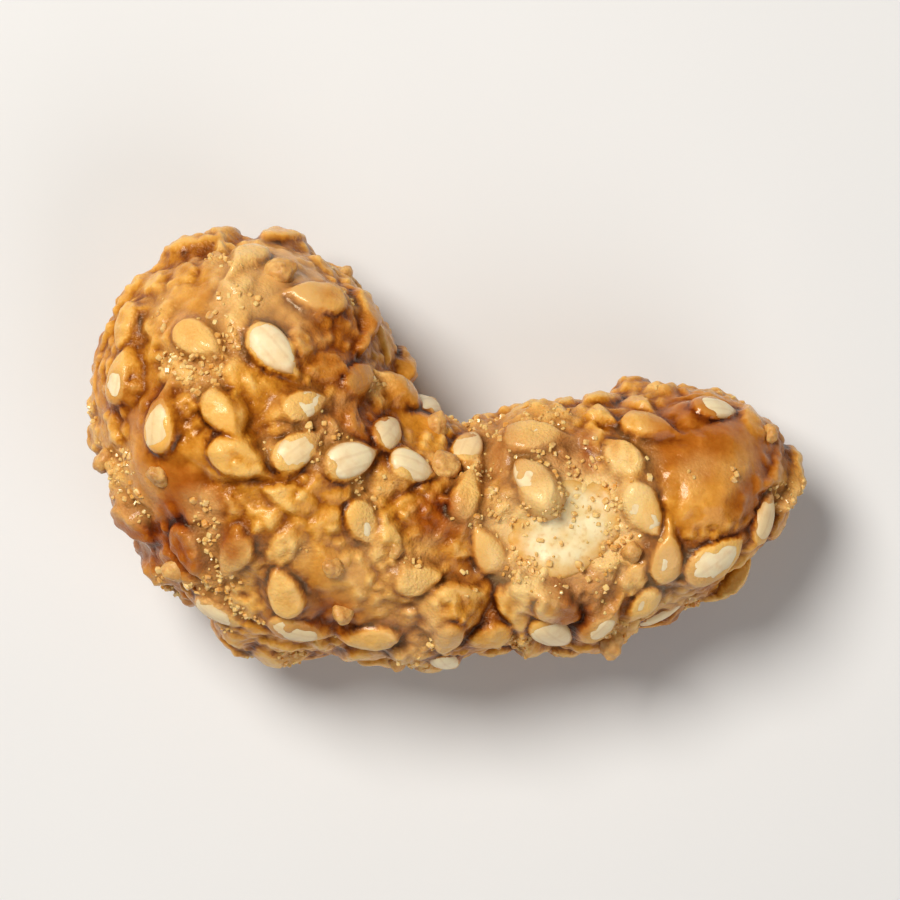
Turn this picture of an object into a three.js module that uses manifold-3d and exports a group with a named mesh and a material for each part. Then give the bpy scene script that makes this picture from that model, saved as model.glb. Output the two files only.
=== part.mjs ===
// A caramelized cashew with sesame seeds: one whole nut in a lumpy sugar crust, with seeds
// and sugar crumbs set in it. It lies on its side, on the patch where the hot caramel set flat.
//
// Millimetres, +Z up. The bend of the nut lies in the XY plane: its hollow side faces +Y, its
// fat end is at -X and curls up towards +Y, and its slim end is at +X. The origin is on the
// foot's plane, below the middle of the nut.

import * as THREE from 'three';
import { mergeVertices } from 'three/addons/utils/BufferGeometryUtils.js';
import Module from 'manifold-3d';

// Driving dimensions of the crusted nut
const fatGirth = 7.6; // half-width round the fat end
const slimGirth = 5.8; // half-width round the slim end
const waistStart = 0.2; // where along the nut the fat end begins to narrow, 0 to 1
const waistEnd = 0.6; // where it has narrowed to the slim end
const crustBlend = 0.6; // how softly the two sides of the hollow run together
const footDepth = 0.35; // how much of the round underside the flat foot takes away

// The middle line of the nut, from the fat end's tip to the slim end's
const fatTip = new THREE.Vector3(-10.5, 4.6, 0);
const fatPull = new THREE.Vector3(-10.6, -8.3, 0);
const slimPull = new THREE.Vector3(2.8, -4.7, 0);
const slimTip = new THREE.Vector3(12.3, -2.3, 0);

// Lumps of the crust: broad swellings where the sugar gathered, and dents between them
const lumpCount = 110;
const lumpWidth = [1.1, 2.3]; // from the narrowest to the widest
const lumpRise = [-0.7, 0.95]; // from the deepest dent to the highest swelling
const outlineHeight = 6.5; // height at which the nut is widest, seen from above

// Lumps and dents that show in the nut's outline from above
const outlineLumps = [
  { x: -2.2, y: 5.2, width: 2.2, rise: 0.8 },
  { x: 16.0, y: 2.1, width: 2.3, rise: 1.2 },
  { x: 15.0, y: -5.6, width: 2.2, rise: -1.2 },
  { x: 7.5, y: -10.0, width: 2.2, rise: 0.9 },
  { x: -4.0, y: -10.3, width: 1.6, rise: -0.9 },
  { x: -11.0, y: -9.4, width: 1.6, rise: 0.7 },
  { x: -12.8, y: -7.7, width: 1.2, rise: -0.7 },
  { x: -15.8, y: -5.4, width: 1.4, rise: 0.8 },
  { x: -16.6, y: -2.4, width: 1.3, rise: -0.7 },
  { x: -16.2, y: 6.4, width: 2.0, rise: -1.0 },
];

// A bare patch on the upper side, where the crust dips and thins and holds no seeds
const bareSpot = { x: 6.0, y: -3.9, width: 2.4, rise: -0.4, reach: 2.7 };

// Sesame seeds, lying in the crust: length, width, thickness
const seedSize = new THREE.Vector3(2.7, 1.65, 0.98);
const seedTaper = 0.25; // how much the pointed end is narrower than the middle, and the blunt end wider
const seedSizes = [0.85, 1.1]; // from the smallest to the largest, beside seedSize
const seedSpots = 160; // places spread over the whole nut
const seedGap = 2.1; // closest that two seeds lie, middle to middle
const seedSkipped = 0.12; // share of the places left bare
const seedProud = [-0.15, 0.15]; // how far a seed's middle stands off the crust
const seedLean = 0.3; // the most that a seed tips out of the surface, radians

// Crumbs of sugar between the seeds
const crumbSpots = 60;
const crumbHalfWidth = [0.4, 0.8]; // from the smallest to the largest
const crumbShape = new THREE.Vector3(1.2, 1, 0.8); // length, width and height beside the half-width
const crumbGap = 1.7; // closest to a seed's middle

const clearOfFoot = 1.5; // nothing is set in the crust lower than this
const bodyDetail = 13; // subdivisions of the body's ball
const randomSeed = 20;

// Seeds that show best on the upper side, placed one by one: where their middle lies,
// which way their point is turned in degrees, and their size beside the usual one
const shownSeeds = [
  { x: -8.7, y: 4.9, turn: -50, size: 1.15 },
  { x: -14.2, y: 1.2, turn: 85, size: 1.0 },
  { x: -7.2, y: 2.2, turn: 20, size: 0.85 },
  { x: -7.5, y: 0.0, turn: 35, size: 1.0 },
  { x: -4.9, y: -0.5, turn: 15, size: 1.1 },
  { x: -1.9, y: -0.9, turn: -20, size: 1.0 },
  { x: 1.0, y: 0.0, turn: 70, size: 0.95 },
  { x: 4.3, y: 0.5, turn: 10, size: 1.1 },
  { x: -7.6, y: -8.8, turn: -35, size: 1.1 },
  { x: -11.5, y: -8.0, turn: -60, size: 1.0 },
  { x: 5.3, y: -9.1, turn: -45, size: 1.15 },
  { x: 7.6, y: -8.8, turn: 60, size: 0.9 },
  { x: 13.6, y: 1.9, turn: -5, size: 1.0 },
  { x: 15.9, y: -3.4, turn: 70, size: 0.95 },
  { x: 13.4, y: -5.4, turn: 40, size: 1.25 },
  { x: -16.3, y: 3.6, turn: 80, size: 1.0 },
  { x: -4.4, y: -3.6, turn: -60, size: 0.9 },
  { x: -1.6, y: -6.4, turn: 10, size: 0.9 },
  { x: -4.7, y: 3.5, turn: 30, size: 0.9 },
];

const wasm = await Module();
wasm.setup();

// A draw between 0 and 1, the same in every run
let drawState = randomSeed;
function draw() {
  drawState = (drawState * 1664525 + 1013904223) % 4294967296;
  return drawState / 4294967296;
}

function drawBetween([low, high]) {
  return low + (high - low) * draw();
}

function girthAt(along) {
  return THREE.MathUtils.lerp(fatGirth, slimGirth, THREE.MathUtils.smoothstep(along, waistStart, waistEnd));
}

// The nut's middle line climbs as it gets fatter, so that its underside lies level
const middleLine = new THREE.CubicBezierCurve3(fatTip, fatPull, slimPull, slimTip);
function middleAt(along) {
  return middleLine.getPoint(along).setZ(girthAt(along) - footDepth);
}

// The body is a row of balls along the middle line, run together. A ball's share evens out
// how closely they follow each other, so that the body is as thick as the girth says.
const ballCount = 32;
const balls = [];
for (let i = 0; i < ballCount; i += 1) {
  const along = (i + 0.5) / ballCount;
  const step = middleAt(along + 0.5 / ballCount).distanceTo(middleAt(along - 0.5 / ballCount));
  const radius = girthAt(along);
  const share = step / Math.sqrt(2 * Math.PI * radius * crustBlend);
  balls.push({ middle: middleAt(along), radius, share });
}

// How far a point is outside the crust, and which way is straight out of it
const lumps = [];
function feelCrust(point) {
  const outward = new THREE.Vector3();
  let total = 0;
  for (const ball of balls) {
    const offset = point.clone().sub(ball.middle);
    const distance = offset.length();
    const weight = ball.share * Math.exp((ball.radius - distance) / crustBlend);
    outward.addScaledVector(offset, weight / distance);
    total += weight;
  }
  let height = -crustBlend * Math.log(total);
  for (const lump of lumps) {
    height -= lump.rise * Math.exp(-point.distanceToSquared(lump.middle) / lump.width ** 2);
  }
  return { height, outward: outward.normalize() };
}

// Moves a point straight out or in until it lies on the crust
const settleSteps = 12;
function settle(point) {
  for (let i = 0; i < settleSteps; i += 1) {
    const { height, outward } = feelCrust(point);
    point.addScaledVector(outward, -height);
  }
  return point;
}

// A place inside the nut in the direction of a point of the unit ball: x runs along the nut,
// y across it towards the hollow side, and z up
const startShare = 0.55; // part of the girth at which the way out to the crust starts
function insideFor(direction) {
  const along = (direction.x + 1) / 2;
  const forward = middleLine.getTangent(along);
  const across = new THREE.Vector3(-forward.y, forward.x, 0);
  const reach = girthAt(along) * startShare;
  return middleAt(along)
    .addScaledVector(forward, direction.x ** 3 * reach)
    .addScaledVector(across, direction.y * reach)
    .setZ(middleAt(along).z + direction.z * reach);
}

// The i-th of a number of places spread evenly over the crust, each moved a little at random
const goldenAngle = Math.PI * (3 - Math.sqrt(5));
const unevenness = 0.5; // how far a place strays, beside the distance to the next one
function spreadPlace(i, count) {
  const stray = unevenness * Math.sqrt((4 * Math.PI) / count);
  const evenX = 1 - (2 * (i + 0.5)) / count;
  const x = THREE.MathUtils.clamp(evenX + stray * (draw() - 0.5), -1, 1);
  const angle = goldenAngle * i + 2 * stray * (draw() - 0.5);
  const ring = Math.sqrt(1 - x * x);
  const direction = new THREE.Vector3(x, ring * Math.cos(angle), ring * Math.sin(angle));
  return settle(insideFor(direction));
}

// The place on the upper side that lies over x, y
const dropSteps = 48;
const dropShare = 0.7; // part of the height that each step of the way down takes
function topPlace(x, y) {
  const point = new THREE.Vector3(x, y, 2 * fatGirth);
  for (let i = 0; i < dropSteps; i += 1) {
    point.z -= dropShare * feelCrust(point).height;
  }
  return point;
}

function growLumps() {
  const found = outlineLumps.map(({ x, y, width, rise }) => {
    return { middle: settle(new THREE.Vector3(x, y, outlineHeight)), width, rise };
  });
  for (let i = 0; i < lumpCount; i += 1) {
    const middle = spreadPlace(i, lumpCount);
    found.push({ middle, width: drawBetween(lumpWidth), rise: drawBetween(lumpRise) });
  }
  const { x, y, width, rise } = bareSpot;
  found.push({ middle: topPlace(x, y), width, rise });
  lumps.push(...found);
}

const mergeDistance = 1e-5;
function solidFrom(geometry) {
  geometry.deleteAttribute('normal');
  geometry.deleteAttribute('uv');
  const merged = mergeVertices(geometry, mergeDistance);
  const vertProperties = new Float32Array(merged.attributes.position.array);
  const triVerts = new Uint32Array(merged.index.array);
  return new wasm.Manifold(new wasm.Mesh({ numProp: 3, vertProperties, triVerts }));
}

function geometryFrom(solid) {
  const { vertProperties, triVerts } = solid.getMesh();
  const geometry = new THREE.BufferGeometry();
  geometry.setAttribute('position', new THREE.BufferAttribute(vertProperties, 3));
  geometry.setIndex(new THREE.BufferAttribute(triVerts, 1));
  geometry.computeVertexNormals();
  return geometry;
}

// The crusted nut without its seeds: a ball whose points are moved out to the crust
function bodySolid() {
  const geometry = new THREE.IcosahedronGeometry(1, bodyDetail);
  const places = geometry.attributes.position;
  for (let i = 0; i < places.count; i += 1) {
    const point = settle(insideFor(new THREE.Vector3().fromBufferAttribute(places, i)));
    places.setXYZ(i, point.x, point.y, point.z);
  }
  return solidFrom(geometry);
}

// A seed is a flattened drop: round at one end, narrower and thinner at the other
function seedSolid(seed) {
  const geometry = new THREE.OctahedronGeometry(0.5, 1);
  const places = geometry.attributes.position;
  for (let i = 0; i < places.count; i += 1) {
    const slimness = 1 - 2 * seedTaper * places.getX(i);
    places.setY(i, places.getY(i) * slimness);
    places.setZ(i, places.getZ(i) * slimness);
  }
  geometry.scale(seedSize.x * seed.size, seedSize.y * seed.size, seedSize.z * seed.size);
  geometry.applyMatrix4(seed.lie);
  return solidFrom(geometry);
}

// How something lies in the crust: its length turned by an angle round the way out, tipped a
// little, and its middle raised off the surface
const nearlyAlong = 0.2; // a cross product shorter than this has no clear direction
function lieIn(point, turn, lean, proud) {
  const { outward } = feelCrust(point);
  const level = new THREE.Vector3(0, 1, 0).cross(outward);
  if (level.length() < nearlyAlong) level.set(0, 0, 1).cross(outward);
  const forward = level.normalize().applyAxisAngle(outward, turn);
  const sideways = outward.clone().cross(forward);
  const tip = new THREE.Matrix4().makeRotationAxis(sideways, lean);
  return new THREE.Matrix4()
    .makeBasis(forward, sideways, outward)
    .premultiply(tip)
    .setPosition(point.clone().addScaledVector(outward, proud));
}

// Whether a seed or crumb may lie at a place: clear of the foot, the bare patch and the seeds
function isFree(place, seeds, gap) {
  const bareMiddle = topPlace(bareSpot.x, bareSpot.y);
  if (place.z < clearOfFoot || place.distanceTo(bareMiddle) < bareSpot.reach) return false;
  return seeds.every((seed) => seed.place.distanceTo(place) > gap);
}

// The seeds placed one by one come first, and the others fill the rest evenly
function placeSeeds() {
  const seeds = [];
  for (const shown of shownSeeds) {
    const place = topPlace(shown.x, shown.y);
    const turn = THREE.MathUtils.degToRad(shown.turn);
    seeds.push({ place, size: shown.size, lie: lieIn(place, turn, 0, seedProud[1]) });
  }
  for (let i = 0; i < seedSpots; i += 1) {
    const place = spreadPlace(i, seedSpots);
    const skipped = draw() < seedSkipped;
    const turn = draw() * 2 * Math.PI;
    const lean = (draw() - 0.5) * 2 * seedLean;
    const proud = drawBetween(seedProud);
    const size = drawBetween(seedSizes);
    if (skipped || !isFree(place, seeds, seedGap)) continue;
    seeds.push({ place, size, lie: lieIn(place, turn, lean, proud) });
  }
  return seeds;
}

// Sugar crumbs are small uneven nuggets, sunk by half
function placeCrumbs(seeds) {
  const crumbs = [];
  for (let i = 0; i < crumbSpots; i += 1) {
    const place = spreadPlace(i, crumbSpots);
    const halfWidth = drawBetween(crumbHalfWidth);
    const turn = draw() * 2 * Math.PI;
    const lean = draw() * Math.PI;
    if (!isFree(place, seeds, crumbGap)) continue;
    crumbs.push({ place, halfWidth, lie: lieIn(place, turn, lean, 0) });
  }
  return crumbs;
}

function crumbSolid(crumb) {
  const geometry = new THREE.IcosahedronGeometry(crumb.halfWidth, 0);
  geometry.scale(crumbShape.x, crumbShape.y, crumbShape.z);
  geometry.applyMatrix4(crumb.lie);
  return solidFrom(geometry);
}

// Everything below the foot's plane, as a block wider than the nut
const blockSide = 60;
function belowFoot() {
  const geometry = new THREE.BoxGeometry(blockSide, blockSide, blockSide);
  geometry.translate(0, 0, -blockSide / 2);
  return solidFrom(geometry);
}

function cashew() {
  growLumps();
  const seeds = placeSeeds();
  const crumbs = placeCrumbs(seeds);
  let solid = bodySolid();
  for (const seed of seeds) solid = solid.add(seedSolid(seed));
  for (const crumb of crumbs) solid = solid.add(crumbSolid(crumb));
  solid = solid.subtract(belowFoot());

  const caramel = new THREE.MeshStandardMaterial({ color: 0xba8243, roughness: 0.35, metalness: 0 });
  const mesh = new THREE.Mesh(geometryFrom(solid), caramel);
  mesh.name = 'caramelized_cashew';
  return mesh;
}

const part = new THREE.Group();
part.add(cashew());

export default part;
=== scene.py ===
import math
import random

import bmesh
import bpy
import numpy as np
from mathutils import Matrix, Vector, kdtree, noise


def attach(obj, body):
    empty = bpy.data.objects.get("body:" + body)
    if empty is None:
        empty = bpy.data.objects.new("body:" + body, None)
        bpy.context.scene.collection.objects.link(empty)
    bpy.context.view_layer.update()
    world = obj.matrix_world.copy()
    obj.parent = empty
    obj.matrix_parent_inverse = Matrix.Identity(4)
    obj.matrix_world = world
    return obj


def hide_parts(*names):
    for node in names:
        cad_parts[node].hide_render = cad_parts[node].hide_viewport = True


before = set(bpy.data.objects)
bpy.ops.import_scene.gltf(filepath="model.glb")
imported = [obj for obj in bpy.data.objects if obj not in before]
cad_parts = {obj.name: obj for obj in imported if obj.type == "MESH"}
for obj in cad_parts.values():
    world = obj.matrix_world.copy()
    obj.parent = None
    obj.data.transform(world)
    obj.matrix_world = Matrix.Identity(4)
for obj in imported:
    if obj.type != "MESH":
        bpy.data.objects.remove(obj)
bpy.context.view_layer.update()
nutNode = "caramelized_cashew"
mm = 0.001  # lengths are in millimetres, and a finished piece is scaled by this
print("frame loaded")


# The form of the crusted nut, by the same law as the solid it stands for

nutForm = {
    "fatGirth": 7.6,  # half-width round the fat end
    "slimGirth": 5.8,
    "waist": (0.2, 0.6),  # where along the nut it narrows
    "blend": 0.6,  # how softly the sides of the hollow run together
    "footDepth": 0.35,  # taken off the round underside
    "middleLine": ((-10.5, 4.6), (-10.6, -8.3), (2.8, -4.7), (12.3, -2.3)),
    "balls": 32,
    "startShare": 0.55,  # how far out of the middle the way to the crust starts
    "firstDraw": 20,  # another number makes another nut, and the solid's must be the same
}

lumpForm = {  # wide, soft lumps and hollows of the crust
    "count": 110,
    "width": (1.1, 2.3),
    "rise": (-0.7, 0.95),
    "outlineHeight": 6.5,
    "outline": (  # x, y, width, rise of lumps that show in the outline from above
        (-2.2, 5.2, 2.2, 0.8), (16.0, 2.1, 2.3, 1.2), (15.0, -5.6, 2.2, -1.2), (7.5, -10.0, 2.2, 0.9),
        (-4.0, -10.3, 1.6, -0.9), (-11.0, -9.4, 1.6, 0.7), (-12.8, -7.7, 1.2, -0.7),
        (-15.8, -5.4, 1.4, 0.8), (-16.6, -2.4, 1.3, -0.7), (-16.2, 6.4, 2.0, -1.0),
    ),
}


def makeDraw(state):  # the same row of random numbers, from 0 to 1, as the solid is made with
    factor, step, span = 1664525, 1013904223, 2 ** 32

    def draw():
        nonlocal state
        state = (state * factor + step) % span
        return state / span
    return draw


draw = makeDraw(nutForm["firstDraw"])


def drawBetween(ends):
    return ends[0] + (ends[1] - ends[0]) * draw()


def smoothStep(values, low, high):
    share = np.clip((np.asarray(values, float) - low) / (high - low), 0, 1)
    return share * share * (3 - 2 * share)


def girthAt(along):
    fat, slim = nutForm["fatGirth"], nutForm["slimGirth"]
    return fat + (slim - fat) * smoothStep(along, *nutForm["waist"])


def middleAt(along):  # a point of the nut's middle line, from 0 at the fat end to 1
    t = np.asarray(along, float)[..., None]
    a, b, c, d = (np.array(p) for p in nutForm["middleLine"])
    flat = (1 - t) ** 3 * a + 3 * (1 - t) ** 2 * t * b + 3 * (1 - t) * t * t * c + t ** 3 * d
    return np.concatenate([flat, girthAt(along)[..., None] - nutForm["footDepth"]], axis=-1)


def forwardAt(along):
    t = np.asarray(along, float)[..., None]
    a, b, c, d = (np.array(p) for p in nutForm["middleLine"])
    flat = (1 - t) ** 2 * (b - a) + 2 * (1 - t) * t * (c - b) + t * t * (d - c)
    flat = flat / np.linalg.norm(flat, axis=-1, keepdims=True)
    return np.concatenate([flat, np.zeros_like(t)], axis=-1)


ballAlong = (np.arange(nutForm["balls"]) + 0.5) / nutForm["balls"]
halfStep = 0.5 / nutForm["balls"]
ballMiddles = middleAt(ballAlong)
ballRadii = girthAt(ballAlong)
ballSteps = np.linalg.norm(middleAt(ballAlong + halfStep) - middleAt(ballAlong - halfStep), axis=1)
ballShares = ballSteps / np.sqrt(2 * math.pi * ballRadii * nutForm["blend"])
lumps = {"middle": np.zeros((0, 3)), "width": np.zeros(0), "rise": np.zeros(0)}


def feelCrust(points):  # how far points are outside the crust, and which way is out of it
    offset = points[:, None, :] - ballMiddles[None]
    distance = np.linalg.norm(offset, axis=2)
    weight = ballShares * np.exp((ballRadii - distance) / nutForm["blend"])
    outward = np.einsum("pbk,pb->pk", offset, weight / distance)
    outward /= np.linalg.norm(outward, axis=1, keepdims=True)
    height = -nutForm["blend"] * np.log(weight.sum(axis=1))
    if len(lumps["rise"]):
        gap = ((points[:, None, :] - lumps["middle"][None]) ** 2).sum(axis=2)
        height -= np.exp(-gap / lumps["width"] ** 2) @ lumps["rise"]
    return height, outward


def settle(points, steps=12):  # points moved out or in until they lie on the crust
    points = np.array(points, float)
    for _ in range(steps):
        height, outward = feelCrust(points)
        points -= outward * height[:, None]
    return points


def insideFor(directions):  # a place inside the nut for each direction, x being how far along it
    directions = np.asarray(directions, float)
    along = (directions[:, 0] + 1) / 2
    forward = forwardAt(along)
    across = np.stack([-forward[:, 1], forward[:, 0], np.zeros(len(forward))], axis=1)
    reach = (girthAt(along) * nutForm["startShare"])[:, None]
    start = middleAt(along) + forward * directions[:, :1] ** 3 * reach
    start += across * directions[:, 1:2] * reach
    start[:, 2] += directions[:, 2] * reach[:, 0]
    return start


goldenAngle = math.pi * (3 - math.sqrt(5))


def spreadDirection(i, count):  # one of so many directions, evenly spread but a little astray
    stray = 0.5 * math.sqrt(4 * math.pi / count)
    x = min(1, max(-1, 1 - 2 * (i + 0.5) / count + stray * (draw() - 0.5)))
    angle = goldenAngle * i + 2 * stray * (draw() - 0.5)
    ring = math.sqrt(1 - x * x)
    return x, ring * math.cos(angle), ring * math.sin(angle)


def topPlaces(spots):  # the places on the upper side that lie over x, y
    steps, share = 48, 0.7
    points = np.array([(x, y, 2 * nutForm["fatGirth"]) for x, y in spots], float)
    for _ in range(steps):
        points[:, 2] -= share * feelCrust(points)[0]
    return points


def growLumps():
    outline = lumpForm["outline"]
    outlineMiddles = settle([(x, y, lumpForm["outlineHeight"]) for x, y, width, rise in outline])
    directions = []
    widths = [row[2] for row in outline]
    rises = [row[3] for row in outline]
    for i in range(lumpForm["count"]):
        directions.append(spreadDirection(i, lumpForm["count"]))
        widths.append(drawBetween(lumpForm["width"]))
        rises.append(drawBetween(lumpForm["rise"]))
    spreadMiddles = settle(insideFor(directions))
    bareDip = topPlaces([bareNut["middle"]])
    widths.append(bareNut["width"])
    rises.append(bareNut["rise"])
    middles = np.concatenate([outlineMiddles, spreadMiddles, bareDip])
    lumps.update(middle=middles, width=np.array(widths), rise=np.array(rises))


def lieIn(place, turn, lean, proud):  # rotation with columns along, across and out, and the middle
    tooSteep = 0.2
    outward = feelCrust(place[None])[1][0]
    level = np.cross((0, 1, 0), outward)
    if np.linalg.norm(level) < tooSteep:
        level = np.cross((0, 0, 1), outward)
    level = Vector(level).normalized()
    forward = Matrix.Rotation(turn, 3, Vector(outward)) @ level
    sideways = Vector(outward).cross(forward)
    basis = Matrix((forward, sideways, Vector(outward))).transposed()
    turned = Matrix.Rotation(lean, 3, sideways) @ basis
    return np.array(turned), place + outward * proud


# Where the seeds and crumbs lie

seedForm = {
    "size": (2.7, 1.65, 0.98),  # length, width, thickness
    "taper": 0.25,  # how much the pointed end is narrower, and the blunt end wider
    "point": 0.5,  # how much narrower still the very tip is
    "pointFrom": 0.3,  # where along the seed the tip begins
    "flatness": 0.8,  # under 1 the seed's faces are flatter than a drop's
    "uneven": 0.02,
    "sizes": (0.85, 1.1),
    "spots": 160,  # places tried
    "gap": 2.1,
    "skipped": 0.12,
    "proud": (-0.15, 0.15),  # how far its middle lies out of the crust
    "lean": 0.3,
    "bareShare": 0.2,  # of the spread seeds, how many show bare
    "thinShare": 0.3,  # and how many have only a thin film over them
    "rarerAbove": 0.3,  # how much less often they do so on the upper side
    "upperSide": (0.3, 0.9),  # which begins where the crust faces up as much as this
    "bareFilm": (-0.1, -0.03),
    "thinFilm": (0.0, 0.1),
    "thickFilm": (0.1, 0.22),  # on all others
    "shown": (  # x, y, turn in degrees, size, and caramel over it (below 0 the seed is bare)
        (-8.7, 4.9, -50, 1.15, -0.12), (-14.2, 1.2, 85, 1.0, -0.04), (-7.2, 2.2, 20, 0.85, 0.0),
        (-7.5, 0.0, 35, 1.0, -0.06), (-4.9, -0.5, 15, 1.1, -0.1), (-1.9, -0.9, -20, 1.0, -0.09),
        (1.0, 0.0, 70, 0.95, -0.04), (4.3, 0.5, 10, 1.1, 0.04), (-7.6, -8.8, -35, 1.1, -0.02),
        (-11.5, -8.0, -60, 1.0, -0.08), (5.3, -9.1, -45, 1.15, -0.12), (7.6, -8.8, 60, 0.9, -0.02),
        (13.6, 1.9, -5, 1.0, -0.06), (15.9, -3.4, 70, 0.95, -0.08), (13.4, -5.4, 40, 1.25, -0.06),
        (-16.3, 3.6, 80, 1.0, -0.02), (-4.4, -3.6, -60, 0.9, 0.02), (-1.6, -6.4, 10, 0.9, 0.1),
        (-4.7, 3.5, 30, 0.9, 0.06),
    ),
}

glazedForm = {  # seeds wholly under the caramel, which show as swellings of the crust
    "gap": 1.6,
    "clear": 1.7,  # how near they come to the seeds that show
    "sizes": (0.7, 0.95),
    "sunk": (0.3, 0.55),
    "lean": 0.25,
    "film": (0.05, 0.14),
    "glassy": 0.45,  # none where the caramel is glassier than this
}

crumbForm = {
    "spots": 60,  # places tried
    "halfWidth": (0.4, 0.8),
    "shape": (1.2, 1.0, 0.8),
    "gap": 1.7,
    "uneven": 0.16,
    "granules": 0.12,
    "granuleSize": 0.55,
}

bareNut = {  # the patch where the crust dips and the nut shows
    "middle": (6.0, -3.9),
    "width": 2.4,
    "rise": -0.4,
    "reach": 2.7,  # no seed or crumb lies nearer
    "halfLength": 3.3,
    "halfWidth": 2.5,
    "turn": 35,
    "depth": 0.12,  # how far the nut's own skin lies under the crust's law
    "sunk": 0.5,  # how much deeper its edge goes, under the crust
    "dents": 0.1,
    "pores": 0.05,
    "opening": (0.6, 1.5),  # between these shares of the patch the crust closes over the nut
    "under": 0.25,  # how far below the nut's skin the crust stays in the opening
    "filmRound": (0.9, 1.9),  # where the caramel round it gets as deep as elsewhere
    "paleRound": (0.9, 1.8),  # and as dark
    "ragged": 1.1,
    "uneven": 0.3,
    "faceUp": 0.2,  # none where the crust faces up less than this
}

clearOfFoot = 1.5  # nothing is set in the crust lower than this

firstRolls = {  # where each row of random numbers starts
    "films": 5, "glazed": 31, "glazedSpots": 12, "granules": 4, "tones": 8, "grains": 21, "grainSpots": 6,
}


growLumps()
bareMiddle = topPlaces([bareNut["middle"]])[0]


def bareNutFrame():
    return lieIn(bareMiddle, math.radians(bareNut["turn"]), 0, 0)


def isFree(place, seeds, gap):  # whether a seed or crumb may lie at a place
    if place[2] < clearOfFoot or np.linalg.norm(place - bareMiddle) < bareNut["reach"]:
        return False
    return all(np.linalg.norm(seed["place"] - place) > gap for seed in seeds)


def placeSeeds():
    dice = random.Random(firstRolls["films"])
    seeds = []
    shownPlaces = topPlaces([row[:2] for row in seedForm["shown"]])
    for place, (x, y, turn, size, film) in zip(shownPlaces, seedForm["shown"]):
        turned, middle = lieIn(place, math.radians(turn), 0, seedForm["proud"][1])
        seeds.append({"place": place, "turned": turned, "middle": middle, "size": size, "film": film})
    rows = []
    for i in range(seedForm["spots"]):
        direction = spreadDirection(i, seedForm["spots"])
        skipped = draw() < seedForm["skipped"]
        turn = draw() * 2 * math.pi
        lean = (draw() - 0.5) * 2 * seedForm["lean"]
        proud = drawBetween(seedForm["proud"])
        rows.append((direction, skipped, turn, lean, proud, drawBetween(seedForm["sizes"])))
    places = settle(insideFor([row[0] for row in rows]))
    for place, (direction, skipped, turn, lean, proud, size) in zip(places, rows):
        if skipped or not isFree(place, seeds, seedForm["gap"]):
            continue
        turned, middle = lieIn(place, turn, lean, proud)
        kind = dice.random() + seedForm["rarerAbove"] * smoothStep(turned[2, 2], *seedForm["upperSide"])
        film = dice.uniform(*seedForm["thickFilm"])
        if kind < seedForm["bareShare"]:
            film = dice.uniform(*seedForm["bareFilm"])
        elif kind < seedForm["bareShare"] + seedForm["thinShare"]:
            film = dice.uniform(*seedForm["thinFilm"])
        seeds.append({"place": place, "turned": turned, "middle": middle, "size": size, "film": film})
    return seeds


def placeCrumbs(seeds):
    rows = []
    for i in range(crumbForm["spots"]):
        direction = spreadDirection(i, crumbForm["spots"])
        halfWidth = drawBetween(crumbForm["halfWidth"])
        turn = draw() * 2 * math.pi
        rows.append((direction, halfWidth, turn, draw() * math.pi))
    places = settle(insideFor([row[0] for row in rows]))
    crumbs = []
    for place, (direction, halfWidth, turn, lean) in zip(places, rows):
        if not isFree(place, seeds, crumbForm["gap"]):
            continue
        turned, middle = lieIn(place, turn, lean, 0)
        crumbs.append({"place": place, "turned": turned, "middle": middle, "halfWidth": halfWidth})
    return crumbs


def glazedSeeds(points, glassy):
    dice = random.Random(firstRolls["glazed"])
    packed = scatter(points, glazedForm["gap"], firstRolls["glazedSpots"])
    spots = points[[i for i in packed if glassy[i] < glazedForm["glassy"]]]
    others = np.array([seed["place"] for seed in seeds])
    glazed = []
    for place in spots:
        turn = dice.uniform(0, math.pi * 2)
        lean = dice.uniform(-1, 1) * glazedForm["lean"]
        sunk, size, film = (dice.uniform(*glazedForm[key]) for key in ("sunk", "sizes", "film"))
        nearest = np.linalg.norm(others - place, axis=1).min()
        if nearest < glazedForm["clear"] or np.linalg.norm(place - bareMiddle) < bareNut["reach"]:
            continue
        turned, middle = lieIn(place, turn, lean, -sunk)
        glazed.append({"place": place, "turned": turned, "middle": middle, "size": size, "film": film})
    return glazed


seeds = placeSeeds()
crumbs = placeCrumbs(seeds)
print("places found:", len(seeds), "seeds,", len(crumbs), "crumbs")


# What the pieces' meshes are made with

def meshPoints(mesh):
    places = np.empty(len(mesh.vertices) * 3, np.float32)
    mesh.vertices.foreach_get("co", places)
    return places.reshape(-1, 3).astype(float)


def meshEdges(mesh):
    ends = np.empty(len(mesh.edges) * 2, np.int32)
    mesh.edges.foreach_get("vertices", ends)
    return ends.reshape(-1, 2)


def putPoints(mesh, points):
    mesh.vertices.foreach_set("co", points.astype(np.float32).ravel())
    mesh.update()


def putValues(mesh, name, values):
    layer = mesh.attributes.new(name, "FLOAT", "POINT")
    layer.data.foreach_set("value", np.asarray(values, np.float32))


def noiseAt(points, size, shift, octaves=2):
    scaled = points / size + shift
    return np.array([noise.fractal(p, 1.0, 2.0, octaves) for p in scaled.tolist()])


def finishPiece(piece, material):
    piece.data.transform(Matrix.Scale(mm, 4))
    piece.data.shade_smooth()
    piece.data.materials.append(material)
    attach(piece, "root")


def addObject(name, data):
    thing = bpy.data.objects.new(name, data)
    bpy.context.scene.collection.objects.link(thing)
    return thing


def meshFrom(bm, name):
    mesh = bpy.data.meshes.new(name)
    bm.to_mesh(mesh)
    bm.free()
    return mesh


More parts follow.
